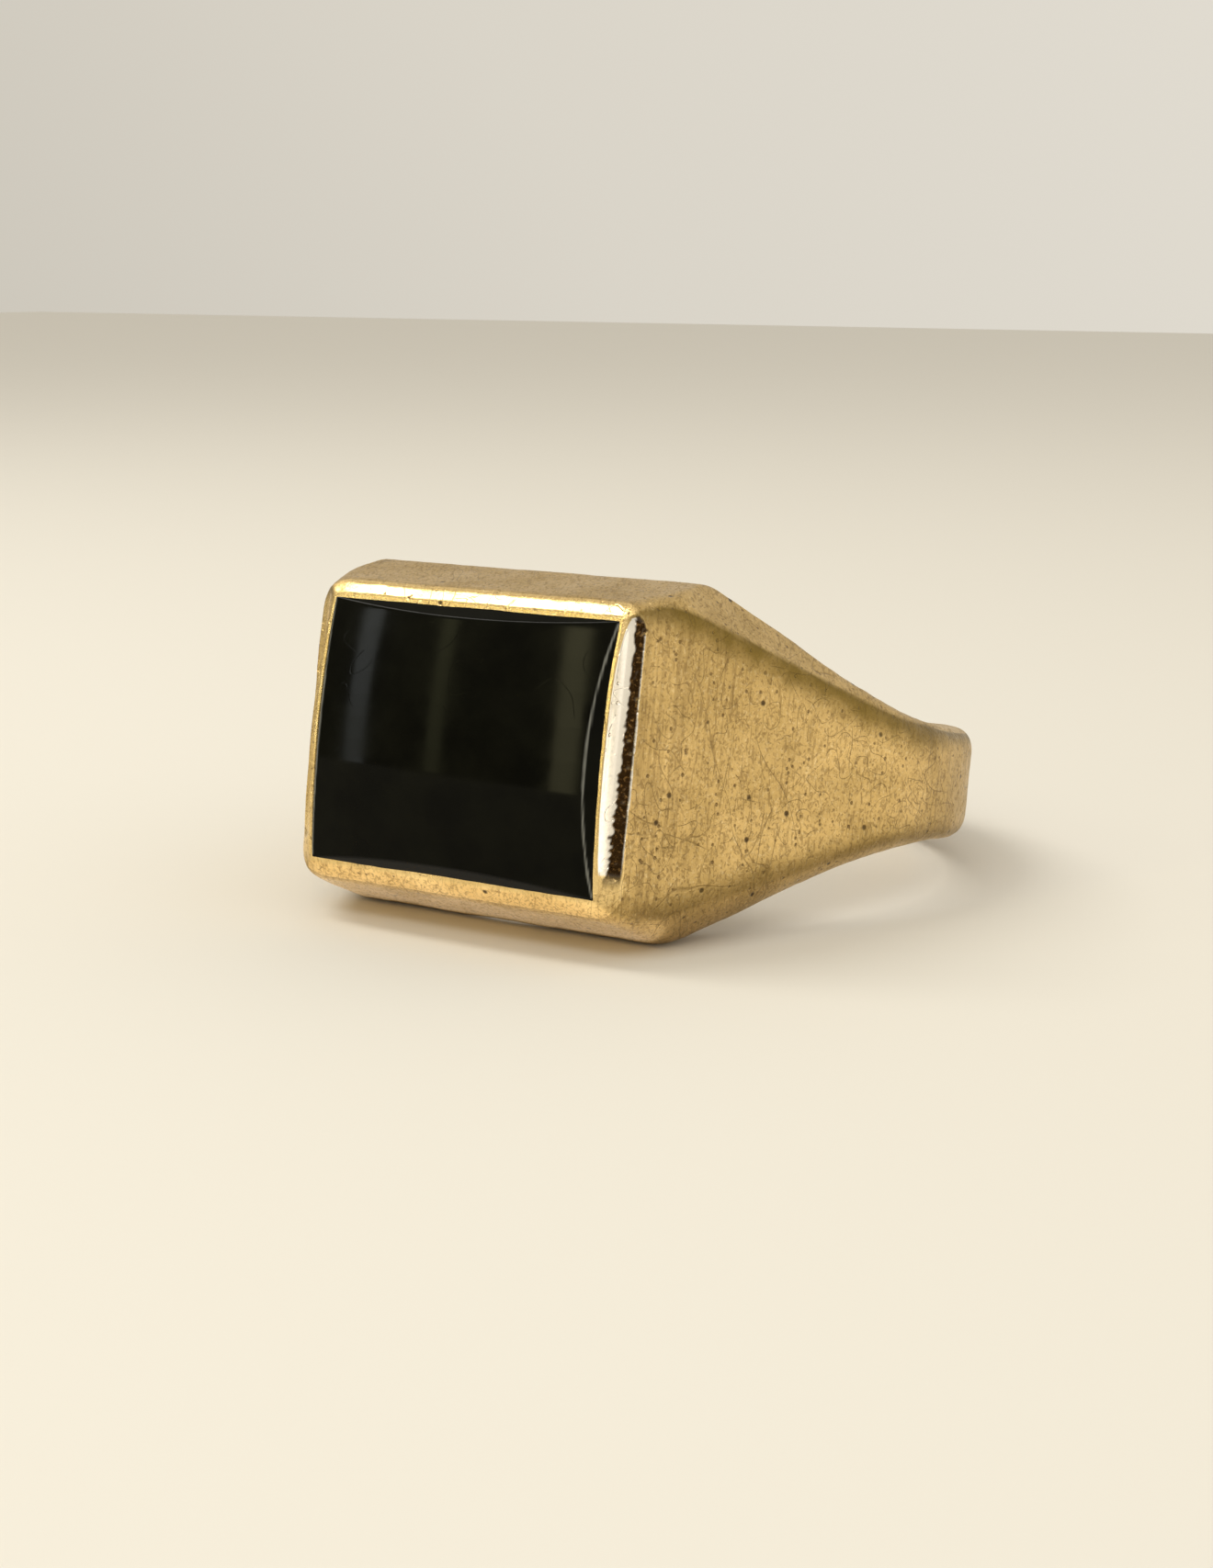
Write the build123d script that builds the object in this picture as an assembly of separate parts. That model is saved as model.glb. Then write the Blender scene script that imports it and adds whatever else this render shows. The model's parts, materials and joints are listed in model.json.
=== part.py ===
from build123d import *
import math
import os

# A signet ring with a rectangular buff-top stone, lying on its side the way it rests on a table.
# It is drawn in the ring's own frame first: finger hole centred on the origin, finger axis along Z,
# the stone's face towards -Y, the hoop's seam at +Y. At the end every piece is tipped back until the
# head's lower edge and the hoop's lower back edge both touch the table, which is Z = 0.

# Finger hole and hoop
finger_diameter = 17.5
hoop_thickness = 1.1
hoop_width = 3.6
hole_edge_radius = 0.2
worn_edge_radius = 0.45
seam_width = 0.1

# Stone
stone_length = 10.0
stone_width = 8.0
stone_dome_height = 0.80
stone_depth = 2.0
dome_radius_across = 60.0
dome_radius_along = 12.8

# Setting round the stone. The lip lies furthest from the finger axis half way up each side,
# because the face is bowed along Z by this radius.
face_distance = 12.2
face_bow_radius = 22.6
lip_overlap = 0.14
lip_width = 0.12
frame_length = 11.15
frame_width = 8.86
frame_corner_radius = 0.9
frame_drop = 0.32
cement_thickness = 0.1
ledge_width = 0.8
ledge_thickness = 0.6
window_corner_radius = 0.8
solder_thickness = 0.08
flute_radius = 0.62
flute_inner_x = 5.0
flute_inner_distance = 12.45
flute_top = 3.95
flute_bottom = -3.05
bevel_angle = 45.0

# Head and shoulders
head_widest_half = 5.33
head_widest_distance = 8.7
head_edge_radius = 1.2
taper_slope = 0.57
taper_blend_radius = 16.0
ridge_facet_normal = (0.744, -0.111, 0.659)
ridge_facet_distance = 8.608

finger_radius = finger_diameter / 2
hoop_radius = finger_radius + hoop_thickness
half_hoop = hoop_width / 2
half_frame_length = frame_length / 2
half_frame_width = frame_width / 2
lip_half_length = stone_length / 2 - lip_overlap
lip_half_width = stone_width / 2 - lip_overlap
ridge_distance = face_distance - frame_drop
stone_back = face_distance - stone_depth
ledge_top = stone_back - cement_thickness
frame_back = ledge_top - ledge_thickness
pocket_floor = frame_back - solder_thickness
bow_rise = face_bow_radius - math.sqrt(face_bow_radius**2 - lip_half_width**2)
bow_axis = Axis((0, face_bow_radius - face_distance - bow_rise, 0), (1, 0, 0))
in_front = face_distance + 1
far = 3 * hoop_radius
block_sweep = 60.0
dome_sweep = 80.0
close_enough = 0.001


def tangent_point(corner_x, corner_distance):
    """Where a line from a point of the outline just touches the hoop's outer circle."""
    reach = math.hypot(corner_x, corner_distance)
    corner_angle = math.atan2(-corner_distance, corner_x)
    angle = corner_angle + math.acos(hoop_radius / reach)
    return hoop_radius * math.cos(angle), hoop_radius * math.sin(angle)


def plan_outline():
    """The ring seen along the finger axis, filled in: straight shoulders from beyond the face back to
    the hoop, and the hoop's outer circle."""
    touch_x, touch_y = tangent_point(half_frame_length, ridge_distance)
    lean = (touch_x - half_frame_length) / (touch_y + ridge_distance)
    front_x = half_frame_length - (in_front - ridge_distance) * lean
    with BuildSketch(Plane.XY) as outline:
        with BuildLine():
            Polyline((touch_x, touch_y), (front_x, -in_front), (-front_x, -in_front), (-touch_x, touch_y))
            ThreePointArc((-touch_x, touch_y), (0, hoop_radius), (touch_x, touch_y))
        make_face()
    return outline.sketch


def side_outline():
    """The ring seen along X. From the front: the chamfers above and below the stone, the walls of the
    head flaring back to its widest point, and a long hollow taper into the parallel hoop."""
    lip_edge = lip_half_width + lip_width
    chamfer_slope = (half_frame_width - lip_edge) / frame_drop
    front_z = lip_edge - (in_front - face_distance) * chamfer_slope
    taper_end = -head_widest_distance + (head_widest_half - half_hoop) / taper_slope
    half = [
        (-in_front, front_z),
        (-ridge_distance, half_frame_width),
        (-head_widest_distance, head_widest_half),
        (taper_end, half_hoop),
        (far, half_hoop),
    ]
    other_half = [(y, -z) for y, z in reversed(half)]
    radii = [0, head_edge_radius, taper_blend_radius, 0]
    with BuildSketch(Plane.YZ) as outline:
        with BuildLine():
            FilletPolyline(*half, *other_half, radius=radii + radii[::-1])
            Line(other_half[-1], half[0])
        make_face()
    return outline.sketch


def bowed_block(half_width, slope, height):
    """A block whose front is flat across the middle, slopes back towards both ends and is bowed along Z.
    Its height is measured outwards from the lip's level at the corners of the stone."""
    front = face_distance + bow_rise + height
    back = finger_radius / 2
    end_x = half_width + (front - back) / slope
    with BuildSketch(Plane.XY) as section:
        with BuildLine():
            Polyline(
                (-end_x, -back), (-half_width, -front), (half_width, -front), (end_x, -back), close=True
            )
        make_face()
    return revolve(section.sketch, bow_axis, block_sweep).rotate(bow_axis, -block_sweep / 2)


def outer_form():
    """The whole ring as if it were one solid lump with no finger hole and no stone."""
    body = extrude(plan_outline(), amount=far, both=True)
    body &= extrude(side_outline(), amount=far, both=True)
    for side in (-1, 1):
        for end in (-1, 1):
            across, back, along = ridge_facet_normal
            normal = Vector(side * across, back, end * along)
            place = Plane(origin=normal.normalized() * ridge_facet_distance, z_dir=normal)
            body -= place * Box(far, far, far, align=(Align.CENTER, Align.CENTER, Align.MIN))
    return body


def runs_along(edge, axis_direction):
    """True for an edge whose middle runs parallel to a direction."""
    return abs((edge % 0.5).dot(Vector(axis_direction))) > 1 - close_enough


def softened_form():
    """The outer form with every long edge of the head, shoulders and hoop worn round.
    The seams where a curve runs smoothly into a flat lie along X or Z and are left alone."""
    body = outer_form()
    worn_edges = [
        edge
        for edge in body.edges()
        if edge.center().Y > -ridge_distance
        and not runs_along(edge, (1, 0, 0))
        and not runs_along(edge, (0, 0, 1))
    ]
    body = fillet(worn_edges, worn_edge_radius)
    lip_edge = lip_half_length + lip_width
    face = bowed_block(lip_edge, frame_drop / (half_frame_length - lip_edge), 0)
    return body & (face + Pos(0, (far - finger_radius) / 2, 0) * Box(far, far, far))


def rectangular_prism(length, width, corner, near_face, far_face):
    """A rectangle centred on the face, pushed straight in from one distance to a nearer one."""
    sketch = Plane(origin=(0, -far_face, 0), x_dir=(1, 0, 0), z_dir=(0, -1, 0)) * (
        RectangleRounded(length, width, corner) if corner else Rectangle(length, width)
    )
    return extrude(sketch, amount=far_face - near_face, dir=(0, 1, 0))


def dome():
    """A block whose top bulges across the stone by one arc and along it by turning that arc about X."""
    apex = face_distance + stone_dome_height
    half_chord = stone_length
    edge_drop = dome_radius_across - math.sqrt(dome_radius_across**2 - half_chord**2)
    left_end = (-half_chord, edge_drop - apex)
    right_end = (half_chord, edge_drop - apex)
    with BuildSketch(Plane.XY) as section:
        with BuildLine():
            ThreePointArc(left_end, (0, -apex), right_end)
            Polyline(right_end, (half_chord, -finger_radius), (-half_chord, -finger_radius), left_end)
        make_face()
    turning_axis = Axis((0, dome_radius_along - apex, 0), (1, 0, 0))
    return revolve(section.sketch, turning_axis, dome_sweep).rotate(turning_axis, -dome_sweep / 2)


def onyx_stone():
    """A rectangle with straight sides, a bevel on all four of them and the domed top.
    The bevels vanish at the corners, where the dome comes down to the lip."""
    bevel_slope = math.tan(math.radians(bevel_angle))
    front_z = lip_half_width - (in_front - face_distance) * bevel_slope
    back_z = lip_half_width + stone_depth * bevel_slope
    with BuildSketch(Plane.YZ) as bevels:
        with BuildLine():
            Polyline(
                (-in_front, front_z), (-stone_back, back_z), (-stone_back, -back_z), (-in_front, -front_z),
                close=True,
            )
        make_face()
    sides = rectangular_prism(stone_length, stone_width, 0, stone_back, in_front)
    stone = sides & extrude(bevels.sketch, amount=far, both=True)
    stone &= bowed_block(lip_half_length - stone_dome_height * bevel_slope, bevel_slope, stone_dome_height)
    return stone & dome()


def flute(side):
    """A round-ended bright cut scooped along one side of the setting, from the lip to the shoulder."""
    inner_edge = Vector(flute_inner_x, -flute_inner_distance, 0)
    outer_edge = Vector(half_frame_length, -ridge_distance, 0)
    chord = outer_edge - inner_edge
    outward = Vector(chord.Y, -chord.X, 0).normalized()
    rise = math.sqrt(flute_radius**2 - (chord.length / 2) ** 2)
    axis_point = (inner_edge + outer_edge) / 2 + outward * rise
    x = side * axis_point.X
    length = flute_top - flute_bottom
    groove = Pos(x, axis_point.Y, (flute_top + flute_bottom) / 2) * Cylinder(flute_radius, length)
    for z in (flute_bottom, flute_top):
        groove += Pos(x, axis_point.Y, z) * Sphere(flute_radius)
    return groove


def bezel_frame(body, stone):
    """The setting: the front of the head round the stone, with a ledge that the stone rests on."""
    frame = body & rectangular_prism(
        frame_length, frame_width, frame_corner_radius, frame_back, in_front
    )
    frame -= stone
    frame -= rectangular_prism(stone_length, stone_width, 0, ledge_top, stone_back)
    frame -= window(face_distance)
    for side in (-1, 1):
        frame -= flute(side)
    return frame


def window(far_face):
    """The opening behind the stone, from the finger hole outwards."""
    return rectangular_prism(
        stone_length - 2 * ledge_width,
        stone_width - 2 * ledge_width,
        window_corner_radius,
        0,
        far_face,
    )


def setting_cement():
    """The bed of cement between the stone's back and the ledge."""
    bed = rectangular_prism(stone_length, stone_width, 0, ledge_top, stone_back)
    return bed - window(face_distance)


def bezel_solder():
    """The joint between the back of the setting and the floor of its pocket in the head."""
    joint = rectangular_prism(
        frame_length, frame_width, frame_corner_radius, pocket_floor, frame_back
    )
    return joint - window(face_distance)


def seam_slab():
    """A thin slice through the back of the hoop, where the bent blank closes."""
    return Pos(0, hoop_radius, 0) * Box(seam_width, hoop_radius, far)


def on_hole_rim(edge):
    """True for the edges where the finger hole meets the ring's two sides."""
    middle = edge @ 0.5
    on_wall = abs(math.hypot(middle.X, middle.Y) - finger_radius) < close_enough
    return on_wall and not runs_along(edge, (0, 0, 1))


def shank(body):
    """The hoop, shoulders and head walls, with the finger hole and the pocket for the setting."""
    pocket = rectangular_prism(
        frame_length, frame_width, frame_corner_radius, pocket_floor, in_front
    )
    hoop = body - Cylinder(finger_radius, far)
    hoop = fillet([edge for edge in hoop.edges() if on_hole_rim(edge)], hole_edge_radius)
    return hoop - pocket - window(face_distance)


def resting_tilt():
    """The angle that tips the ring back until the head's lower edge and the hoop's lower back edge
    lie on one level: the slope of the line that touches both rounded edges from below."""
    head_arc = next(
        edge
        for edge in side_outline().edges()
        if edge.geom_type == GeomType.CIRCLE
        and abs(edge.radius - head_edge_radius) < close_enough
        and edge.center().Z < 0
    )
    head_centre = head_arc.arc_center
    hoop_centre = Vector(0, hoop_radius - worn_edge_radius, worn_edge_radius - half_hoop)
    run = hoop_centre - head_centre
    slope = math.atan2(run.Z, run.Y)
    return slope + math.asin((head_edge_radius - worn_edge_radius) / run.length)


body = softened_form()
stone = onyx_stone()
blank = shank(body)
seam = blank & seam_slab()
pieces = {
    "shank": blank - seam_slab(),
    "shank_seam": seam,
    "bezel_frame": bezel_frame(body, stone),
    "bezel_solder": bezel_solder(),
    "setting_cement": setting_cement(),
    "onyx_stone": stone,
}
tilt = resting_tilt()
print("tilt", math.degrees(tilt))
tipped = {name: piece.rotate(Axis.X, -math.degrees(tilt)) for name, piece in pieces.items()}
boxes = [piece.bounding_box() for piece in tipped.values()]
middle_y = (min(box.min.Y for box in boxes) + max(box.max.Y for box in boxes)) / 2
lowest_z = min(box.min.Z for box in boxes)
to_origin = Pos(0, -middle_y, -lowest_z)
print("finger hole centre", to_origin.position)

os.makedirs("parts", exist_ok=True)
for name, piece in tipped.items():
    placed = to_origin * piece
    placed.label = name
    print(name, placed.is_valid, len(placed.solids()), round(placed.volume, 2))
    export_step(placed.solid(), f"parts/{name}.step")
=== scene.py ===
import json
import math

import bmesh
import bpy
import numpy as np
from mathutils import Matrix, Vector


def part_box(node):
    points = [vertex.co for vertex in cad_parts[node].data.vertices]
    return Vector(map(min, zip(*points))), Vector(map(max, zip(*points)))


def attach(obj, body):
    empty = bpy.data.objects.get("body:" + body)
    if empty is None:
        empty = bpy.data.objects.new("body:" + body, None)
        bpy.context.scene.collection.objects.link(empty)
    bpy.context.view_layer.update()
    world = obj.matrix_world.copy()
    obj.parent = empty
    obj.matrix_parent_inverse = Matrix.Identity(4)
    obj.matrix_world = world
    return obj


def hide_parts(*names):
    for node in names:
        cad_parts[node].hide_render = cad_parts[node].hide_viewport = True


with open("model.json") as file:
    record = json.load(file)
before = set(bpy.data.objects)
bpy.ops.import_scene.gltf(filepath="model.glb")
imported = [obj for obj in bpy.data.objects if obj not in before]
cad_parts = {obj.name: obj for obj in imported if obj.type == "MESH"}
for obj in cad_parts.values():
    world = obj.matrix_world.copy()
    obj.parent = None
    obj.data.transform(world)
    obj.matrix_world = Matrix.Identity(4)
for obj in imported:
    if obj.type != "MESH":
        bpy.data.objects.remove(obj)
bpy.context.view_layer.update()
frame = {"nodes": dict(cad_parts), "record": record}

scene = bpy.context.scene
MM = 0.001


# ---------------------------------------------------------------- places taken from the record

bore = next(m for m in frame["record"]["mounts"] if m["name"] == "finger_bore")
hole_centre = Vector(bore["pos_m"])
finger_axis = Vector(bore["axis"])
face_normal = Vector((0, -finger_axis.z, finger_axis.y))
stone_low, stone_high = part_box("onyx_stone")
stone_middle = (stone_low + stone_high) / 2


def ring_vector(x, front, along):
    """A direction given by the ring: to its right, out of its face, and along the finger axis."""
    return Vector((1, 0, 0)) * x + face_normal * front + finger_axis * along


# ---------------------------------------------------------------- the worn shape, in the ring's own frame
#
# Lengths here are millimetres: the finger hole's centre is the origin, the finger axis is Z, and the
# stone faces -Y. Each form below is a height over one group of surfaces: negative inside the metal.

finger_radius = 8.75
hoop_radius = 9.85
half_hoop = 1.8
half_length = 5.575
half_width = 4.43
ridge_distance = 11.88
face_distance = 12.2
face_bow_radius = 22.6
stone_half_length = 5.0
stone_half_width = 4.0
stone_back = 10.2
dome_apex = 13.00
dome_radius_across = 60.0
dome_radius_along = 12.8
lip_half_length = 4.86
lip_half_width = 3.86
lip_width = 0.12
head_widest_half = 5.33
head_widest_distance = 8.7
taper_slope = 0.57
ridge_facet = (0.744, -0.111, 0.659, 8.608)
flute_axis_x = 5.620
flute_axis_y = -12.494
flute_radius = 0.62
flute_top = 3.95
flute_bottom = -3.05
pocket_floor = 9.42
frame_back = 9.5
ledge_top = 10.1
window_half_length = 4.2
window_half_width = 3.2
window_corner = 0.8
frame_corner = 0.9
seam_half_width = 0.05
stone_corner = 0.07

# How widely each kind of edge is worn round
hoop_edge = 0.85
hole_edge = 0.22
widest_edge = 0.40
taper_hollow = 1.8
ridge_edge, ridge_edge_below = 0.07, 0.45
face_edge, face_edge_below = 0.12, 0.25
lip_edge_blend = 0.03
flute_edge = 0.02
end_bevel_edge = 0.03
side_bevel_edge = 0.012

# How uneven the worn gold is, and how much of it has gone
dent_depth = 0.008
ripple_depth = 0.0025
chatter_depth = 0.010
wear_depth = 0.012

# How finely the meshes are made, and how steep an edge has to be, in degrees, to stay sharp
hoop_sections = 600
section_points = 156
side_points, corner_points = 170, 12
stone_rows, stone_columns = 261, 209
edge_angle = 35
stone_edge_angle = 50

# Distances from the finger axis that lie well inside the head, well behind its face and well past it
deep_inside = 4
behind_face = 10.8
far_out = 14

seam_half_angle = seam_half_width / hoop_radius
bow_rise = face_bow_radius - math.sqrt(face_bow_radius**2 - lip_half_width**2)
bow_centre = face_bow_radius - face_distance - bow_rise
lip_edge = lip_half_length + lip_width


def smooth_max(first, second, blend):
    """The larger of two heights, rounded over where they differ by less than the blend."""
    overlap = np.maximum(blend - np.abs(first - second), 0) / blend
    return np.maximum(first, second) + overlap**2 * blend / 4


def smooth_min(first, second, blend):
    return -smooth_max(-first, -second, blend)


def step_between(value, low, high):
    """0 below low, 1 above high and a smooth step between."""
    share = np.clip((value - low) / (high - low), 0, 1)
    return share * share * (3 - 2 * share)


class Waves:
    """Gentle seeded unevenness: a sum of sine waves in random directions."""

    def __init__(self, seed, wavelength, count=14):
        random = np.random.default_rng(seed)
        direction = random.normal(size=(count, 3))
        direction /= np.linalg.norm(direction, axis=1)[:, None]
        length = wavelength * random.uniform(0.6, 1.6, count)
        self.vectors = direction * (2 * math.pi / length)[:, None]
        self.phases = random.uniform(0, 2 * math.pi, count)
        self.scale = math.sqrt(2 / count)

    def at(self, x, y, z):
        total = np.zeros_like(x)
        for vector, phase in zip(self.vectors, self.phases):
            total += np.sin(vector[0] * x + vector[1] * y + vector[2] * z + phase)
        return total * self.scale


dents = Waves(3, 2.6)
ripples = Waves(5, 0.7)
tool_marks = Waves(9, 0.22)


def hoop_tangent():
    """The direction from the finger axis to where a straight shoulder meets the round hoop."""
    reach = math.hypot(half_length, ridge_distance)
    angle = math.atan2(-ridge_distance, half_length) + math.acos(hoop_radius / reach)
    return math.cos(angle), math.sin(angle)


tangent = hoop_tangent()


def plan_form(x, y):
    """Straight shoulders running into the hoop's outer circle."""
    across = np.abs(x)
    shoulder = tangent[0] * across + tangent[1] * y - hoop_radius
    past = -tangent[1] * across + tangent[0] * y
    return np.where(past < 0, shoulder, np.hypot(x, y) - hoop_radius)


def side_form(y, z):
    """The head's flared walls, the hollow taper behind them and the parallel hoop."""
    high = np.abs(z)
    rise = (head_widest_half - half_width, ridge_distance - head_widest_distance)
    wall = (rise[1] * (high - half_width) - rise[0] * (y + ridge_distance)) / math.hypot(*rise)
    taper = high - head_widest_half + taper_slope * (y + head_widest_distance)
    taper = taper / math.hypot(1, taper_slope)
    back = smooth_min(taper, high - half_hoop, taper_hollow)
    return smooth_max(wall, back, widest_edge)


def facet_form(x, y, z):
    """The flat cut along each ridge between a shoulder and a side."""
    return (
        ridge_facet[0] * np.abs(x) + ridge_facet[1] * y + ridge_facet[2] * np.abs(z) - ridge_facet[3]
    )


def face_form(x, y, z):
    """The bowed lip level and the chamfers that fall away from it on all four sides."""
    level = np.hypot(y - bow_centre, z) - face_bow_radius
    slope = (face_distance - ridge_distance) / (half_length - lip_edge)
    ends = (level + slope * (np.abs(x) - lip_edge)) / math.hypot(1, slope)
    fall = (half_width - lip_half_width - lip_width, face_distance - ridge_distance)
    chamfer = -fall[0] * (y + face_distance) + fall[1] * (np.abs(z) - lip_half_width - lip_width)
    chamfer = chamfer / math.hypot(*fall)
    return smooth_max(smooth_max(level, ends, lip_edge_blend), chamfer, lip_edge_blend)


def outer_form(x, y, z):
    """The whole ring as one lump. Every outer edge is worn round, most of all low down, where the ring
    has rubbed, and the surface is gently uneven."""
    below = 0.5 - 0.5 * np.tanh((z + 1.5) / 1.2)
    body = smooth_max(plan_form(x, y), side_form(y, z), hoop_edge)
    body = smooth_max(body, facet_form(x, y, z), ridge_edge + ridge_edge_below * below)
    body = smooth_max(body, face_form(x, y, z), face_edge + face_edge_below * below)
    uneven = dent_depth * dents.at(x, y, z) + ripple_depth * ripples.at(x, y, z)
    return body + uneven + wear_depth


def hollow_form(x, y, z):
    """The metal between the outer form and the finger hole."""
    hole = finger_radius - np.hypot(x, y)
    return smooth_max(outer_form(x, y, z), hole, hole_edge)


def fluted_form(x, y, z):
    """The outer form with a bright cut scooped along both ends of the setting. The tool has chattered
    on the outer side of the right one."""
    beyond = z - np.clip(z, flute_bottom, flute_top)
    away = np.sqrt((np.abs(x) - flute_axis_x) ** 2 + (y - flute_axis_y) ** 2 + beyond**2)
    chatter = chatter_depth * tool_marks.at(x, y, z) * step_between(x, 5.2, 5.4)
    return smooth_max(outer_form(x, y, z), flute_radius - away + chatter, flute_edge)


def stone_forms(x, y, z):
    """The stone's buff top, the bevels at its two ends and the bevels along its two sides."""
    radius = dome_radius_along - dome_radius_across + np.sqrt(dome_radius_across**2 - x**2)
    dome = np.hypot(y - (dome_radius_along - dome_apex), z) - radius
    level = np.hypot(y - bow_centre, z) - face_bow_radius
    end_bevel = (np.abs(x) - lip_half_length + level) / math.sqrt(2)
    side_bevel = (np.abs(z) - lip_half_width - (y + face_distance)) / math.sqrt(2)
    return dome, end_bevel, side_bevel


def dome_form(x, y, z):
    """The stone's whole front."""
    dome, end_bevel, side_bevel = stone_forms(x, y, z)
    return smooth_max(smooth_max(dome, end_bevel, end_bevel_edge), side_bevel, side_bevel_edge)


def crossing(form, start, direction, reach, steps=24):
    """How far from each start, along its direction, the form's surface lies."""
    near = np.zeros(start.shape[:-1])
    far = np.full(start.shape[:-1], float(reach))
    for _ in range(steps):
        middle = (near + far) / 2
        point = start + middle[..., None] * direction
        outside = form(point[..., 0], point[..., 1], point[..., 2]) > 0
        far = np.where(outside, middle, far)
        near = np.where(outside, near, middle)
    return (near + far) / 2


ring_basis = np.array([(1, 0, 0), -np.array(face_normal), np.array(finger_axis)])


def to_row(points):
    """From the ring's own frame in millimetres to the row frame in metres."""
    flat = np.asarray(points, float).reshape(-1, 3)
    return flat @ ring_basis * MM + np.array(hole_centre)


def make_piece(name, points, faces, sharp_angle=edge_angle):
    """A smooth-shaded closed mesh from points in the ring's own frame, sharp at its steep edges."""
    mesh = bpy.data.meshes.new(name)
    mesh.from_pydata(to_row(points).tolist(), [], faces)
    mesh.validate()
    piece = bpy.data.objects.new(name, mesh)
    scene.collection.objects.link(piece)
    face_outwards(mesh)
    mesh.polygons.foreach_set("use_smooth", [True] * len(mesh.polygons))
    mesh.set_sharp_from_angle(angle=math.radians(sharp_angle))
    return piece


def face_outwards(mesh):
    work = bmesh.new()
    work.from_mesh(mesh)
    bmesh.ops.recalc_face_normals(work, faces=work.faces)
    work.to_mesh(mesh)
    work.free()


def grid_faces(rows, columns, closed_rows, closed_columns):
    """Quads between neighbouring points of a grid whose ends may join up."""
    faces = []
    for row in range(rows if closed_rows else rows - 1):
        following = (row + 1) % rows
        for column in range(columns if closed_columns else columns - 1):
            beside = (column + 1) % columns
            faces.append(
                (row * columns + column, row * columns + beside,
                 following * columns + beside, following * columns + column)
            )
    return faces


def hoop_section(angles, count):
    """Closed loops round the metal, one in the plane through the finger axis at each angle."""
    radial = np.stack([np.cos(angles), np.sin(angles), np.zeros_like(angles)], -1)
    inner = radial * (finger_radius + 0.1)
    depth = crossing(outer_form, inner, radial, 6)
    centre = inner + radial * (depth[:, None] - 0.1) / 2
    up = np.array((0.0, 0.0, 1.0))

    def loop(turns, steps=24):
        direction = np.cos(turns)[..., None] * radial[:, None] + np.sin(turns)[..., None] * up
        start = np.broadcast_to(centre[:, None], direction.shape)
        length = crossing(hollow_form, start, direction, 9, steps)
        return start + length[..., None] * direction

    # a coarse loop first, to space the points of the final one evenly along it
    even = np.linspace(-math.pi, math.pi, 2 * count + 1)
    rough = loop(np.broadcast_to(even, (len(angles), len(even))), 12)
    step = np.linalg.norm(np.diff(rough, axis=1), axis=2)
    run = np.concatenate([np.zeros((len(angles), 1)), np.cumsum(step, axis=1)], axis=1)
    share = np.linspace(0, 1, count, endpoint=False)
    turns = np.stack([np.interp(share * row[-1], row, even) for row in run])
    return loop(turns)


def tube(name, angles, count):
    """A length of the hoop's metal, closed at both ends."""
    points = hoop_section(angles, count)
    faces = grid_faces(len(angles), count, False, True)
    last = (len(angles) - 1) * count
    faces.append(tuple(range(count)))
    faces.append(tuple(range(last, last + count)))
    return make_piece(name, points, faces)


def rectangle_loop(half_long, half_wide, corner, straight, bend):
    """Points round a rounded rectangle, x and z, the same number of them for every size: bend + 1 round
    each corner and straight - 1 along each side."""
    signs = ((1, 1), (-1, 1), (-1, -1), (1, -1))
    middles = [(sign_x * (half_long - corner), sign_z * (half_wide - corner)) for sign_x, sign_z in signs]
    points = []
    for quarter, middle in enumerate(middles):
        following = middles[(quarter + 1) % 4]
        for step in range(bend + 1):
            angle = (quarter + step / bend) * math.pi / 2
            points.append((middle[0] + corner * math.cos(angle), middle[1] + corner * math.sin(angle)))
        begin = points[-1]
        end = (following[0] + corner * math.cos(angle), following[1] + corner * math.sin(angle))
        run = (end[0] - begin[0], end[1] - begin[1])
        for step in range(1, straight):
            share = step / straight
            points.append((begin[0] + run[0] * share, begin[1] + run[1] * share))
    return np.array(points)


def prism(name, half_long, half_wide, corner, near, far):
    """A rounded rectangle pushed straight out along the face's normal between two distances."""
    outline = rectangle_loop(half_long, half_wide, corner, 2, 16)
    count = len(outline)
    points = []
    for distance in (near, far):
        points += [(x, -distance, z) for x, z in outline]
    faces = grid_faces(2, count, False, True)
    faces += [tuple(range(count)), tuple(range(count, 2 * count))]
    return make_piece(name, points, faces)


def cut_away(piece, cutter):
    """Takes the cutter's volume out of the piece, for good."""
    modifier = piece.modifiers.new("cut", "BOOLEAN")
    modifier.operation = "DIFFERENCE"
    modifier.solver = "EXACT"
    modifier.object = cutter
    bpy.context.view_layer.update()
    evaluated = piece.evaluated_get(bpy.context.evaluated_depsgraph_get())
    mesh = bpy.data.meshes.new_from_object(evaluated)
    piece.modifiers.clear()
    piece.data = mesh
    bpy.data.objects.remove(cutter)
    mesh.set_sharp_from_angle(angle=math.radians(edge_angle))


def worn_shank():
    """The hoop from one side of the seam round to the other, with the setting's pocket and the window."""
    angles = np.linspace(math.pi / 2 + seam_half_angle, math.pi * 2.5 - seam_half_angle, hoop_sections)
    shank = tube("shank_worn", angles, section_points)
    pocket = (half_length, half_width, frame_corner, pocket_floor)
    window = (window_half_length, window_half_width, window_corner, deep_inside)
    cut_away(shank, prism("pocket", *pocket, far_out))
    cut_away(shank, prism("window", *window, far_out))
    return shank


def worn_seam():
    """The short length of hoop that the solder fills at the back."""
    angles = np.linspace(math.pi / 2 - seam_half_angle, math.pi / 2 + seam_half_angle, 3)
    return tube("seam_worn", angles, section_points)


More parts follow.
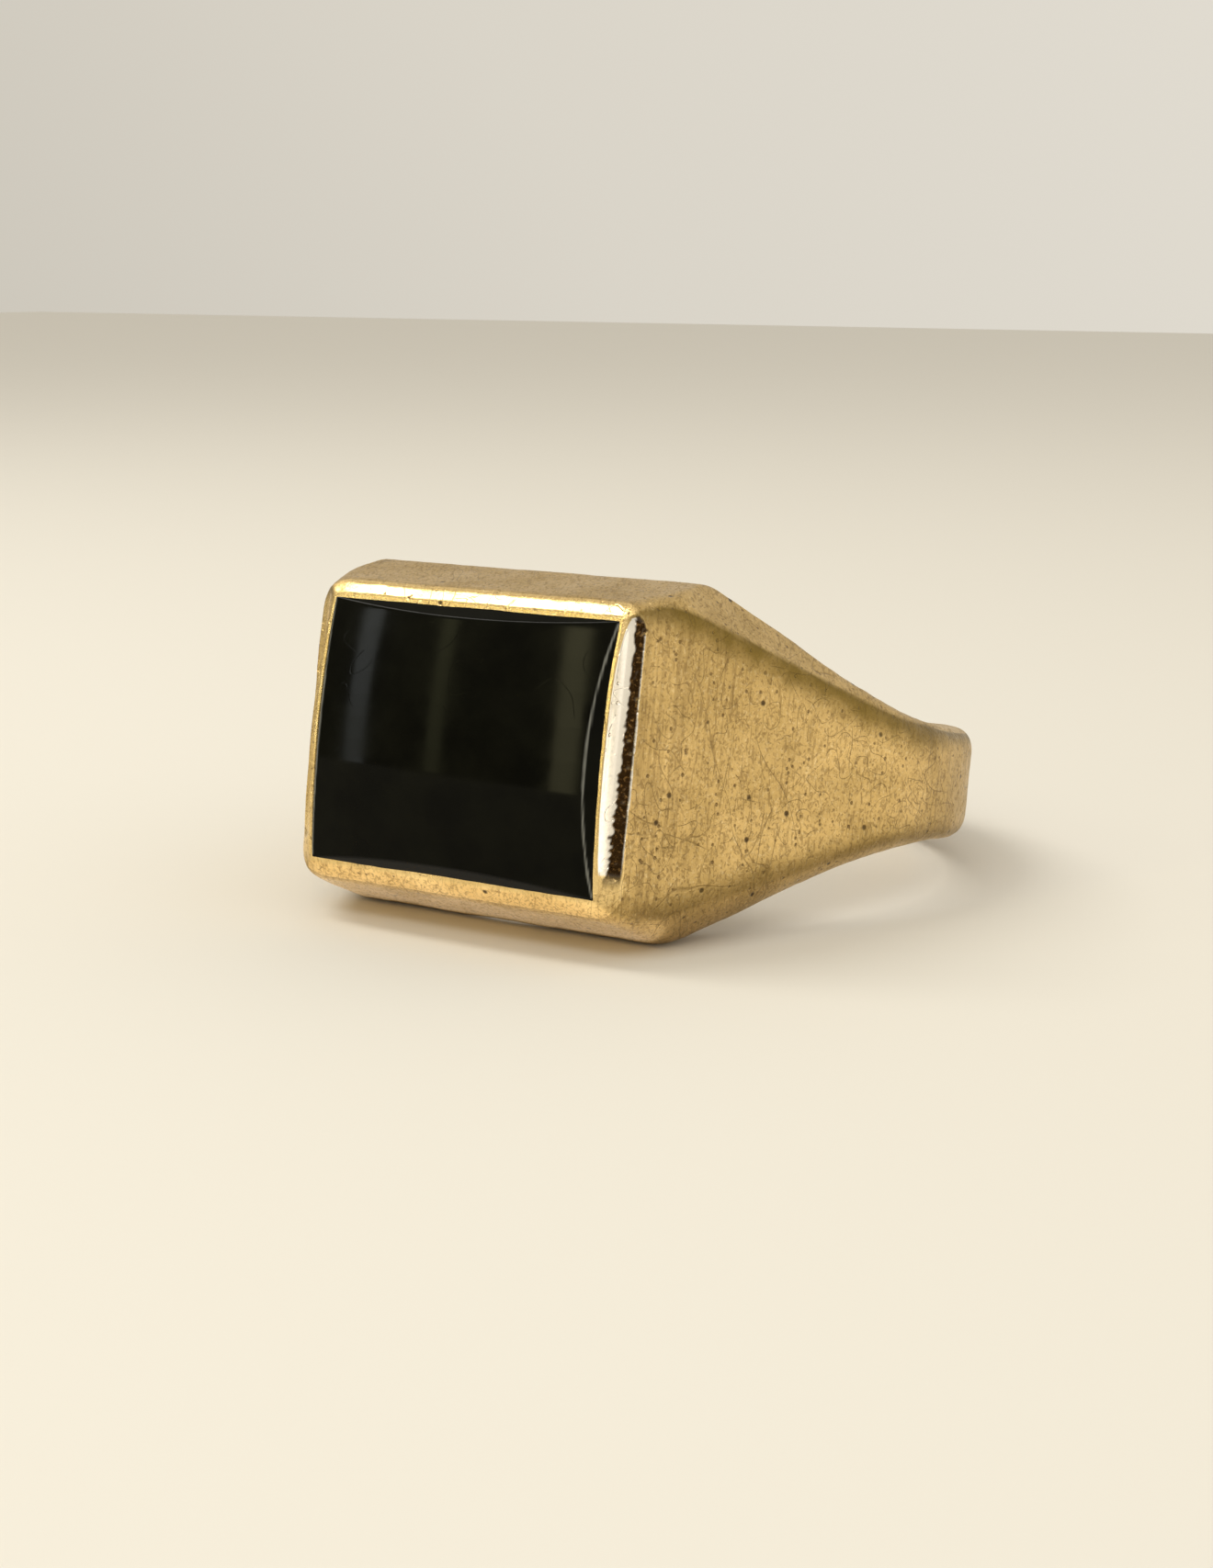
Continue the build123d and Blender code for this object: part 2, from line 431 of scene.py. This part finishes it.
def worn_frame():
    """The setting: a band swept round the stone, from the lip over the chamfers and back to the ledge."""
    inner = rectangle_loop(lip_half_length, lip_half_width, stone_corner, side_points, corner_points)
    outer = rectangle_loop(half_length, half_width, frame_corner, side_points, corner_points)
    lip = np.linspace(0, 0.17, 6)
    inner_flute = np.linspace(0.17, 0.36, 16)
    rest = np.linspace(0.36, 1, 20)
    rings = []
    for share in np.concatenate([lip[:-1], inner_flute[:-1], rest]):
        outline = inner + (outer - inner) * share
        start = np.stack([outline[:, 0], np.full(len(outline), -behind_face), outline[:, 1]], -1)
        forward = np.broadcast_to(np.array((0.0, -1.0, 0.0)), start.shape)
        height = crossing(fluted_form, start, forward, 3)
        rings.append(start + height[:, None] * forward)

    # behind the face: the frame's back, the window's edge, the ledge and the stone's seat
    for half_long, half_wide, corner, distance in (
        (half_length, half_width, frame_corner, frame_back),
        (window_half_length, window_half_width, window_corner, frame_back),
        (window_half_length, window_half_width, window_corner, ledge_top),
        (stone_half_length, stone_half_width, stone_corner, ledge_top),
    ):
        outline = rectangle_loop(half_long, half_wide, corner, side_points, corner_points)
        rings.append(np.stack([outline[:, 0], np.full(len(outline), -distance), outline[:, 1]], -1))
    under_lip = rings[0].copy()
    under_lip[:, 0] *= stone_half_length / lip_half_length
    under_lip[:, 2] *= stone_half_width / lip_half_width
    under_lip[:, 1] += stone_half_length - lip_half_length
    rings.append(under_lip)
    faces = grid_faces(len(rings), len(inner), True, True)
    return make_piece("bezel_frame_worn", np.stack(rings), faces)


def worn_stone():
    """The stone: a fine net over its domed and bevelled top, with straight sides and a flat back."""
    across = np.linspace(-stone_half_length, stone_half_length, stone_rows)
    along = np.linspace(-stone_half_width, stone_half_width, stone_columns)
    x, z = np.meshgrid(across, along, indexing="ij")
    start = np.stack([x, np.full_like(x, -behind_face), z], -1)
    forward = np.broadcast_to(np.array((0.0, -1.0, 0.0)), start.shape)
    top = start + crossing(dome_form, start, forward, 4)[..., None] * forward
    rows, columns = x.shape
    points = top.reshape(-1, 3).tolist()
    faces = grid_faces(rows, columns, False, False)
    rim = [(0, column) for column in range(columns)]
    rim += [(row, columns - 1) for row in range(1, rows)]
    rim += [(rows - 1, column) for column in range(columns - 2, -1, -1)]
    rim += [(row, 0) for row in range(rows - 2, 0, -1)]
    upper = [row * columns + column for row, column in rim]
    first = len(points)
    points += [(points[index][0], -stone_back, points[index][2]) for index in upper]
    count = len(rim)
    for index in range(count):
        beside = (index + 1) % count
        faces.append((upper[index], upper[beside], first + beside, first + index))
    faces.append(tuple(range(first, first + count)))
    return make_piece("stone_polished", points, faces, stone_edge_angle)


def ring_places(mesh):
    """The mesh's points in the ring's own frame, in millimetres."""
    flat = np.empty(len(mesh.vertices) * 3)
    mesh.vertices.foreach_get("co", flat)
    return ((flat.reshape(-1, 3) - np.array(hole_centre)) / MM) @ ring_basis.T


def polish_and_highlight_places(x, y, z):
    """Two shares: inside either flute, and how brightly the setting is cut and rubbed. Where the second
    share reaches 1, in the right flute, it also carries a painted highlight.
    """
    depth = flute_radius - np.hypot(np.abs(x) - flute_axis_x, y - flute_axis_y)
    in_flute = step_between(depth, -0.05, -0.01) * step_between(-y, 11.75, 11.85)
    in_flute = in_flute * step_between(z, flute_bottom - 0.6, flute_bottom)
    in_flute = in_flute * step_between(-z, -flute_top - 0.6, -flute_top)
    on_top_chamfer = step_between(z, 3.85, 3.95) * step_between(-y, 11.80, 11.92)
    on_top_chamfer = on_top_chamfer * step_between(x, -4.9, -4.3) * step_between(-x, -5.1, -4.8)
    on_lip = step_between(-y, 12.12, 12.20)
    # painted highlight: only the right flute's share reaches 1, which turns its gold near white; the left
    # flute gets half
    polish_and_highlight = np.maximum(in_flute * np.where(x > 0, 1.0, 0.5), 0.8 * on_top_chamfer)
    return in_flute, np.maximum(polish_and_highlight, 0.6 * on_lip)


def flute_shade_places(x, y, z, in_flute):
    """Painted shade, dark brown, along the ragged outer side of the right flute."""
    ragged = x + 0.018 * tool_marks.at(x, y, z) + 0.02 * ripples.at(x, y, z) + 0.018 * (flute_top - z)
    return in_flute * step_between(ragged, 5.28, 5.32) * (1 - step_between(x, 5.51, 5.56))


def shoulder_places(x, y, z):
    """Two shares: tarnish under each shoulder's ridge, more above than below, and file marks beside
    the flutes."""
    beside = np.maximum(side_form(y, z), facet_form(x, y, z))
    on_shoulder = step_between(plan_form(x, y) - beside, -0.10, 0.0)
    near_ridge = step_between(beside + 0.03 * ripples.at(x, y, z), -0.70, -0.12)
    patina = on_shoulder * near_ridge * np.where(z > 0, 1.0, 0.45)
    filed = step_between(np.abs(x), 5.45, 5.65) * (1 - step_between(np.abs(x), 6.0, 6.7))
    return patina, filed * on_shoulder


def glint_places(x, y, z):
    """A painted glint: the edge between the stone's top and the bevel at each end, painted as a pale line.
    """
    dome, end_bevel, side_bevel = stone_forms(x, y, z)
    from_edge = np.abs(dome - end_bevel) + 0.003 * ripples.at(x, y, z)
    return (1 - step_between(from_edge, 0.0, 0.032)) * step_between(dome - side_bevel, 0.0, 0.05)


def paint(mesh):
    """Writes where the piece is polished, tarnished or filed, and where painted highlight, painted shade
    and a painted glint go, for the materials to read.
    """
    x, y, z = ring_places(mesh).T
    in_flute, polish_and_highlight = polish_and_highlight_places(x, y, z)
    patina, filed = shoulder_places(x, y, z)
    layers = {
        # the polish share also carries the painted highlight in the right flute
        "polish_and_highlight": polish_and_highlight,
        "satin": step_between(-z, 3.85, 4.05) * step_between(-y, 11.3, 11.8),
        "patina": patina,
        # painted shade: the outer side of the right flute is painted dark
        "flute_shade": flute_shade_places(x, y, z, in_flute),
        # painted glint: a pale line along the edge of each of the stone's end bevels
        "painted_glint": glint_places(x, y, z),
        "filed": filed,
    }
    for name, values in layers.items():
        layer = mesh.attributes.new(name, "FLOAT", "POINT")
        layer.data.foreach_set("value", values.astype(np.float32))


# ---------------------------------------------------------------- camera, floor and light

camera_place = hole_centre + Vector((39.52, -69.498, 15.860)) * MM
camera_back = Vector((0.5046, -0.8381, 0.2074))
camera_up = Vector((-0.110, 0.176, 0.978))
camera_lens = 56.94
sensor_height = 36
floor_half = 0.6
floor_colour = (0.74, 0.71, 0.645, 1)
cloth_tint = (1.0, 0.95, 0.87)
brightest_way = Vector((0.75, 0.45, 0.5))


def add_camera():
    """The photograph's viewpoint: about 80 mm away, 31 degrees to the ring's right and 12 above it."""
    data = bpy.data.cameras.new("camera")
    data.sensor_fit = "VERTICAL"
    data.sensor_height = sensor_height
    data.lens = camera_lens
    data.clip_start = 0.001
    camera = bpy.data.objects.new("camera", data)
    scene.collection.objects.link(camera)
    back = camera_back.normalized()
    right = camera_up.cross(back).normalized()
    up = back.cross(right)
    turn = Matrix((right, up, back)).transposed().to_4x4()
    camera.matrix_world = Matrix.Translation(camera_place) @ turn
    scene.camera = camera


def add_floor():
    """A plain pale floor, in place of the cloth that the ring lies on."""
    mesh = bpy.data.meshes.new("floor")
    corners = [(-floor_half, -floor_half, 0), (floor_half, -floor_half, 0)]
    corners += [(floor_half, floor_half, 0), (-floor_half, floor_half, 0)]
    mesh.from_pydata(corners, [], [(0, 1, 2, 3)])
    floor = bpy.data.objects.new("floor", mesh)
    scene.collection.objects.link(floor)
    material = bpy.data.materials.new("pale_floor")
    material.use_nodes = True
    shader = material.node_tree.nodes["Principled BSDF"]
    shader.inputs["Base Color"].default_value = floor_colour
    shader.inputs["Roughness"].default_value = 0.9
    floor.data.materials.append(material)


def add_light(name, length, width, radiance, tint):
    """A rectangular light of one brightness all over, which the camera doesn't see. Sizes in metres."""
    data = bpy.data.lights.new(name, "AREA")
    data.shape = "RECTANGLE"
    data.size = length
    data.size_y = width
    data.energy = radiance * math.pi * length * width
    data.color = tint
    light = bpy.data.objects.new(name, data)
    scene.collection.objects.link(light)
    light.visible_camera = False
    return light


def add_softbox(name, direction, distance, long_axis, length, width, radiance, tint):
    """A light in the given direction from the stone, facing it, its length along long_axis."""
    light = add_light(name, length, width, radiance, tint)
    away = Vector(direction).normalized()
    beside = (Vector(long_axis) - Vector(long_axis).dot(away) * away).normalized()
    turn = Matrix((beside, away.cross(beside), away)).transposed().to_4x4()
    light.matrix_world = Matrix.Translation(stone_middle + away * distance) @ turn


def add_bounce(name, x, y, length, width, radiance):
    """The light that a white cloth throws up from one place on the floor, given in millimetres."""
    light = add_light(name, length * MM, width * MM, radiance, cloth_tint)
    place = Matrix.Translation((x * MM, y * MM, 0.05 * MM))
    light.matrix_world = place @ Matrix.Rotation(math.pi, 4, "X")


def mirrored(normal, place=stone_middle):
    """The direction that a mirror at a place, facing along normal, shows to the camera."""
    view = (camera_place - place).normalized()
    normal = Vector(normal).normalized()
    return 2 * normal.dot(view) * normal - view


def stone_mirror(across, along):
    """The direction that the domed stone shows to the camera from a place on its face, in millimetres."""
    place = stone_middle + ring_vector(across, 0, along) * MM
    return mirrored(ring_vector(across / dome_radius_across, 1, along / dome_radius_along), place)


def add_band(name, across, lowest, width, radiance, tint):
    """A chain of small lights that shows in the domed stone as a straight upright band, from the stone's
    top edge down to lowest. It is brightest at the top."""
    distance = 0.25
    ends = np.linspace(lip_half_width, lowest, 8)
    for index, (high, low) in enumerate(zip(ends, ends[1:])):
        top = stone_mirror(across, high)
        bottom = stone_mirror(across, low)
        span = top - bottom
        length = span.length * distance
        dimmed = radiance * (1 - 0.5 * index / len(ends))
        add_softbox(f"{name}_{index}", top + bottom, distance, span, length, width, dimmed, tint)


def add_world():
    """Soft light from all round, brightest from the back right and dimmest from the front left."""
    world = bpy.data.worlds.new("studio")
    scene.world = world
    world.use_nodes = True
    tree = world.node_tree
    coordinate = tree.nodes.new("ShaderNodeTexCoord")
    towards = tree.nodes.new("ShaderNodeVectorMath")
    towards.operation = "DOT_PRODUCT"
    towards.inputs[1].default_value = brightest_way.normalized()
    tree.links.new(coordinate.outputs["Generated"], towards.inputs[0])
    ramp = tree.nodes.new("ShaderNodeValToRGB")
    dimmest, brightest = ramp.color_ramp.elements
    dimmest.position = 0.12
    dimmest.color = (0.40, 0.37, 0.31, 1)
    brightest.position = 0.95
    brightest.color = (0.88, 0.84, 0.76, 1)
    middle = ramp.color_ramp.elements.new(0.5)
    middle.color = (0.70, 0.66, 0.58, 1)
    # the dot product runs from -1 to 1, and the ramp from 0 to 1
    share = tree.nodes.new("ShaderNodeMath")
    share.operation = "MULTIPLY_ADD"
    share.inputs[1].default_value = 0.5
    share.inputs[2].default_value = 0.5
    tree.links.new(towards.outputs["Value"], share.inputs[0])
    tree.links.new(share.outputs[0], ramp.inputs[0])
    tree.links.new(ramp.outputs["Color"], tree.nodes["Background"].inputs["Color"])


# ---------------------------------------------------------------- node helpers


class Nodes:
    """A few short words for building a material's node tree. All lengths are in millimetres."""

    def __init__(self, name):
        self.material = bpy.data.materials.new(name)
        self.material.use_nodes = True
        self.tree = self.material.node_tree
        self.shader = self.tree.nodes["Principled BSDF"]
        coordinate = self.add("ShaderNodeTexCoord").outputs["Object"]
        self.place = self.vector("SCALE", coordinate, scale=1 / MM)

    def add(self, kind, **settings):
        node = self.tree.nodes.new(kind)
        for key, value in settings.items():
            setattr(node, key, value)
        return node

    def put(self, socket, value):
        if isinstance(value, bpy.types.NodeSocket):
            self.tree.links.new(value, socket)
        else:
            socket.default_value = value

    def vector(self, operation, first, second=None, scale=None):
        node = self.add("ShaderNodeVectorMath", operation=operation)
        self.put(node.inputs[0], first)
        if second is not None:
            self.put(node.inputs[1], second)
        if scale is not None:
            self.put(node.inputs["Scale"], scale)
        return node.outputs["Value" if operation == "DOT_PRODUCT" else "Vector"]

    def math(self, operation, first, second=0.0, third=0.0):
        node = self.add("ShaderNodeMath", operation=operation)
        for socket, value in zip(node.inputs, (first, second, third)):
            self.put(socket, value)
        return node.outputs[0]

    def ramp(self, value, low, high, to_low=0.0, to_high=1.0):
        """A smooth step from to_low to to_high as value goes from low to high."""
        node = self.add("ShaderNodeMapRange", interpolation_type="SMOOTHSTEP")
        for socket, number in zip(node.inputs, (value, low, high, to_low, to_high)):
            self.put(socket, number)
        return node.outputs["Result"]

    def noise(self, size, detail, roughness, place=None):
        node = self.add("ShaderNodeTexNoise")
        self.put(node.inputs["Vector"], self.place if place is None else place)
        node.inputs["Scale"].default_value = 1 / size
        node.inputs["Detail"].default_value = detail
        node.inputs["Roughness"].default_value = roughness
        return node.outputs["Fac"]

    def stretched(self, direction, along, shift=(0, 0, 0)):
        """Coordinates squeezed along one direction, so that a noise becomes streaks that way."""
        direction = Vector(direction).normalized()
        dot = self.vector("DOT_PRODUCT", self.place, tuple(direction))
        reduce = self.vector("SCALE", tuple(direction), scale=self.math("MULTIPLY", dot, along - 1))
        return self.vector("ADD", self.vector("ADD", self.place, reduce), shift)

    def mix(self, factor, first, second):
        node = self.add("ShaderNodeMix", data_type="RGBA")
        self.put(node.inputs["Factor"], factor)
        self.put(node.inputs[6], first)
        self.put(node.inputs[7], second)
        return node.outputs[2]

    def tint(self, base, added, amount, *shares):
        """The base colour with another mixed in: the amount times every share."""
        factor = amount
        for share in shares:
            factor = self.math("MULTIPLY", share, factor)
        return self.mix(factor, base, added)

    def attribute(self, name):
        """A number that the mesh carries at each point."""
        return self.add("ShaderNodeAttribute", attribute_name=name).outputs["Fac"]

    def bump(self, height, depth, normal=None):
        """A relief whose height, from 0 to 1, stands for a depth in millimetres."""
        node = self.add("ShaderNodeBump")
        node.inputs["Distance"].default_value = depth * MM
        self.put(node.inputs["Height"], height)
        if normal is not None:
            self.put(node.inputs["Normal"], normal)
        return node.outputs["Normal"]


def colour(red, green, blue):
    return (red, green, blue, 1.0)


# ---------------------------------------------------------------- materials


def streaks(nodes, degrees, length, seed, index):
    """Coordinates in which a noise becomes streaks at an angle to the finger's width, over the right
    shoulder and the face alike."""
    angle = math.radians(degrees)
    direction = ring_vector(0.42 * math.cos(angle), 0.9 * math.cos(angle), math.sin(angle))
    return nodes.stretched(direction, 1 / length, (seed, index * 7.3, 3.1))


def strokes(nodes, size, length, seed, low, high, directions):
    """Short straight marks at several angles, as rubbing against hard things leaves them."""
    total = None
    for index in range(directions):
        place = streaks(nodes, seed * 13 + index * 180 / directions, length, seed, index)
        mark = nodes.ramp(nodes.noise(size, 1.0, 0.5, place), low, high)
        total = mark if total is None else nodes.math("MAXIMUM", total, mark)
    return total


def hair_lines(nodes, width, spacing, seed, length, share):
    """Long thin scratches, slightly bent: the middle line of a stretched noise, broken into runs."""
    total = None
    for index in range(4):
        place = streaks(nodes, seed + index * 47, length, seed, index)
        wave = nodes.noise(spacing, 0.0, 0.5, place)
        line = nodes.ramp(nodes.math("ABSOLUTE", nodes.math("SUBTRACT", wave, 0.5)), 0, width, 1, 0)
        where = nodes.noise(spacing * 3, 1.0, 0.5, place)
        line = nodes.math("MULTIPLY", line, nodes.ramp(where, share, share + 0.04))
        total = line if total is None else nodes.math("MAXIMUM", total, line)
    return total


def pits(nodes, spacing, size, seed, share):
    """Small round holes scattered at random, in only a share of the cells."""
    cells = nodes.add("ShaderNodeTexVoronoi")
    nodes.put(cells.inputs["Vector"], nodes.vector("ADD", nodes.place, (seed, seed * 0.7, seed * 1.3)))
    cells.inputs["Scale"].default_value = 1 / spacing
    reach = size / spacing
    shape = nodes.ramp(cells.outputs["Distance"], reach * 0.4, reach, 1, 0)
    chosen = nodes.add("ShaderNodeSeparateColor")
    nodes.put(chosen.inputs[0], cells.outputs["Color"])
    return nodes.math("MULTIPLY", shape, nodes.math("LESS_THAN", chosen.outputs[0], share))


grain_gold = colour(0.95, 0.78, 0.45)
# painted highlight: the near white that the right flute's gold is turned to
highlight_white = colour(1.0, 0.97, 0.90)
pinhole_brown = colour(0.14, 0.08, 0.03)
hole_brown = colour(0.05, 0.03, 0.015)
ridge_brown = colour(0.19, 0.125, 0.030)
# painted shade for the outer side of the right flute, a dark brown and a paler brown
deep_shade_brown = colour(0.035, 0.018, 0.006)
pale_shade_brown = colour(0.22, 0.12, 0.04)
# painted glint: the pale grey of the line along the stone's end bevels
glint_grey = colour(0.26, 0.26, 0.23)


def rubbed_grain(nodes, clouds):
    """Patches of fine streaks along the finger axis."""
    rubbed = nodes.noise(0.10, 2.0, 0.6, nodes.stretched(finger_axis, 0.07))
    return nodes.math("MULTIPLY", nodes.ramp(rubbed, 0.52, 0.66), nodes.ramp(clouds, 0.42, 0.60))


def file_strokes(nodes):
    """Long streaks along the finger axis, only where the piece is filed."""
    file_marks = nodes.noise(0.16, 1.0, 0.5, nodes.stretched(finger_axis, 0.02))
    return nodes.math("MULTIPLY", nodes.attribute("filed"), nodes.ramp(file_marks, 0.44, 0.60))


def gold(name, light, dark, tarnish):
    """Nine carat gold with decades of wear. The mesh's layers say where it is polished, satin or filed,
    where brown tarnish lies along the ridges, where the right flute gets a painted highlight, turned near
    white, and where its outer side gets painted shade."""
    nodes = Nodes(name)
    polish_and_highlight = nodes.attribute("polish_and_highlight")
    patina = nodes.attribute("patina")
    flute_shade = nodes.attribute("flute_shade")
    satin = nodes.attribute("satin")
    dull = nodes.math("SUBTRACT", 1, polish_and_highlight)
    clouds = nodes.noise(1.9, 4.0, 0.6)
    blotches = nodes.noise(0.7, 3.0, 0.6)
    grain = nodes.noise(0.11, 3.0, 0.7)
    flecks = nodes.ramp(nodes.noise(0.20, 3.0, 0.75), 0.54, 0.70)
    marks = strokes(nodes, 0.11, 5.0, 3.0, 0.63, 0.70, 4)
    long_marks = strokes(nodes, 0.13, 9.0, 5.0, 0.66, 0.74, 6)
    lines = hair_lines(nodes, 0.010, 0.6, 11.0, 30.0, 0.54)
    few_lines = hair_lines(nodes, 0.006, 1.4, 71.0, 60.0, 0.60)
    holes = pits(nodes, 0.60, 0.105, 3.0, 0.24)
    pinholes = pits(nodes, 0.25, 0.065, 8.0, 0.30)
    scuffs = nodes.math("MULTIPLY", nodes.math("MAXIMUM", marks, flecks), dull)
    scratches = nodes.math("MAXIMUM", lines, few_lines)

    base = nodes.mix(nodes.ramp(clouds, 0.35, 0.65), light, dark)
    base = nodes.mix(nodes.ramp(grain, 0.50, 0.80, 0, 0.45), base, grain_gold)
    base = nodes.tint(base, tarnish, 0.42, scuffs)
    base = nodes.tint(base, tarnish, 0.40, rubbed_grain(nodes, clouds), dull)
    base = nodes.tint(base, tarnish, 0.30, file_strokes(nodes))
    base = nodes.tint(base, tarnish, 0.35, long_marks, dull)
    base = nodes.tint(base, tarnish, 0.55, scratches, dull)
    base = nodes.tint(base, pinhole_brown, 0.7, pinholes, dull)
    base = nodes.tint(base, hole_brown, 0.9, holes)
    base = nodes.tint(base, ridge_brown, nodes.ramp(blotches, 0.30, 0.60, 0.80, 1.0), patina)
    # painted highlight: where the share nears 1, in the right flute, the gold turns near white
    base = nodes.tint(base, highlight_white, 0.8, nodes.ramp(polish_and_highlight, 0.85, 1.0))
    # painted shade: the outer side of the right flute is painted grainy dark brown
    shade_colour = nodes.mix(nodes.ramp(grain, 0.52, 0.72), deep_shade_brown, pale_shade_brown)
    base = nodes.mix(flute_shade, base, shade_colour)
    nodes.put(nodes.shader.inputs["Base Color"], base)
    nodes.shader.inputs["Metallic"].default_value = 1.0

    rough = nodes.ramp(clouds, 0.3, 0.7, 0.30, 0.40)
    rough = nodes.math("ADD", rough, nodes.ramp(grain, 0.3, 0.7, -0.04, 0.08))
    rough = nodes.math("MULTIPLY_ADD", scuffs, 0.10, rough)
    rough = nodes.math("MULTIPLY_ADD", polish_and_highlight, -0.20, rough)
    rough = nodes.math("MULTIPLY_ADD", flute_shade, 0.12, rough)
    rough = nodes.math("MULTIPLY_ADD", satin, 0.16, rough)
    nodes.put(nodes.shader.inputs["Roughness"], rough)

    uneven = nodes.math("MULTIPLY", grain, nodes.math("MULTIPLY_ADD", dull, 0.85, 0.15))
    normal = nodes.bump(uneven, 0.012)
    normal = nodes.bump(nodes.math("SUBTRACT", 1, scuffs), 0.004, normal)
    normal = nodes.bump(nodes.math("SUBTRACT", 1, scratches), 0.008, normal)
    all_holes = nodes.math("MAXIMUM", holes, pinholes)
    normal = nodes.bump(nodes.math("SUBTRACT", 1, all_holes), 0.025, normal)
    nodes.put(nodes.shader.inputs["Normal"], normal)
    return nodes.material


def worn_gold():
    """The shank's gold, browner and duller."""
    light = colour(0.59, 0.405, 0.158)
    dark = colour(0.50, 0.34, 0.125)
    return gold("worn_gold", light, dark, colour(0.20, 0.125, 0.045))


def bright_gold():
    """The setting's gold, which was cut bright."""
    light = colour(0.86, 0.63, 0.28)
    dark = colour(0.76, 0.54, 0.22)
    return gold("bright_gold", light, dark, colour(0.30, 0.18, 0.06))


def gold_solder():
    """Slightly paler than the gold round it."""
    nodes = Nodes("gold_solder")
    grain = nodes.noise(0.08, 3.0, 0.6)
    base = nodes.mix(nodes.ramp(grain, 0.3, 0.7), colour(0.74, 0.57, 0.31), colour(0.60, 0.44, 0.22))
    nodes.put(nodes.shader.inputs["Base Color"], base)
    nodes.shader.inputs["Metallic"].default_value = 1.0
    nodes.put(nodes.shader.inputs["Roughness"], nodes.ramp(grain, 0.3, 0.7, 0.30, 0.45))
    nodes.put(nodes.shader.inputs["Normal"], nodes.bump(grain, 0.006))
    return nodes.material


def cement():
    """The dull brown bed under the stone."""
    nodes = Nodes("cement")
    grain = nodes.noise(0.15, 4.0, 0.7)
    base = nodes.mix(nodes.ramp(grain, 0.3, 0.7), colour(0.24, 0.19, 0.13), colour(0.36, 0.29, 0.20))
    nodes.put(nodes.shader.inputs["Base Color"], base)
    nodes.put(nodes.shader.inputs["Roughness"], nodes.ramp(grain, 0.3, 0.7, 0.7, 0.9))
    nodes.put(nodes.shader.inputs["Normal"], nodes.bump(grain, 0.02))
    return nodes.material


def onyx():
    """Polished black, with faint hair lines and a painted glint, a pale grey line, along the edge of each
    end bevel.
    """
    nodes = Nodes("onyx")
    clouds = nodes.noise(1.6, 3.0, 0.6)
    hairlines = hair_lines(nodes, 0.006, 1.1, 23.0, 30.0, 0.60)
    black = colour(0.002, 0.002, 0.001)
    base = nodes.mix(nodes.ramp(clouds, 0.3, 0.7), black, colour(0.004, 0.004, 0.002))
    # painted glint: a pale grey, rougher line along the edge of each end bevel
    painted_glint = nodes.attribute("painted_glint")
    base = nodes.tint(base, glint_grey, 0.7, painted_glint)
    nodes.put(nodes.shader.inputs["Base Color"], base)
    rough = nodes.ramp(clouds, 0.3, 0.7, 0.045, 0.075)
    nodes.put(nodes.shader.inputs["Roughness"], nodes.math("MULTIPLY_ADD", painted_glint, 0.5, rough))
    nodes.shader.inputs["Specular IOR Level"].default_value = 0.05
    nodes.put(nodes.shader.inputs["Normal"], nodes.bump(nodes.math("SUBTRACT", 1, hairlines), 0.0003))
    return nodes.material


finishes = {
    "worn_gold": worn_gold(),
    "bright_gold": bright_gold(),
    "gold_solder": gold_solder(),
    "cement": cement(),
    "onyx": onyx(),
}
worn_pieces = {
    "shank": worn_shank,
    "shank_seam": worn_seam,
    "bezel_frame": worn_frame,
    "onyx_stone": worn_stone,
}
for part in frame["record"]["subparts"]:
    piece = frame["nodes"][part["node"]]
    if part["node"] in worn_pieces:
        piece = worn_pieces[part["node"]]()
        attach(piece, "root")
        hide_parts(part["node"])
        paint(piece.data)
    piece.data.materials.clear()
    piece.data.materials.append(finishes[part["material_slot"]])

# ---------------------------------------------------------------- the set

add_camera()
add_floor()
add_world()
scene.view_settings.view_transform = "Standard"

# each light: name, direction, distance, long axis, length, width, radiance, tint
chamfer_way = mirrored(ring_vector(0, 0.815, 0.58))
lights = (
    ("key_light", chamfer_way, 0.25, (1, 0, 0), 0.16, 0.055, 8.5, (1.0, 0.97, 0.90)),
    ("front_light", (0.10, -0.66, 0.74), 0.30, (1, 0, 0), 0.26, 0.07, 3.8, (1.0, 0.98, 0.94)),
    ("right_light", (0.95, 0.22, 0.17), 0.30, (0, 1, 0), 0.36, 0.12, 0.3, (1.0, 0.98, 0.94)),
)
for light in lights:
    add_softbox(*light)

# each band in the stone: name, place across, lowest point, width, radiance, tint
bands = (
    ("left_band", -3.6, -0.9, 0.008, 6.0, (0.95, 1.0, 0.98)),
    ("middle_band", -0.6, -0.9, 0.006, 3.6, (1.0, 0.98, 0.50)),
    ("right_band", 4.1, -3.2, 0.010, 8.0, (1.0, 0.92, 0.50)),
)
for band in bands:
    add_band(*band)
add_bounce("front_bounce", 0, stone_low.y / MM, 13, 6, 0.5)
add_bounce("right_bounce", 38, -2, 40, 40, 0.75)
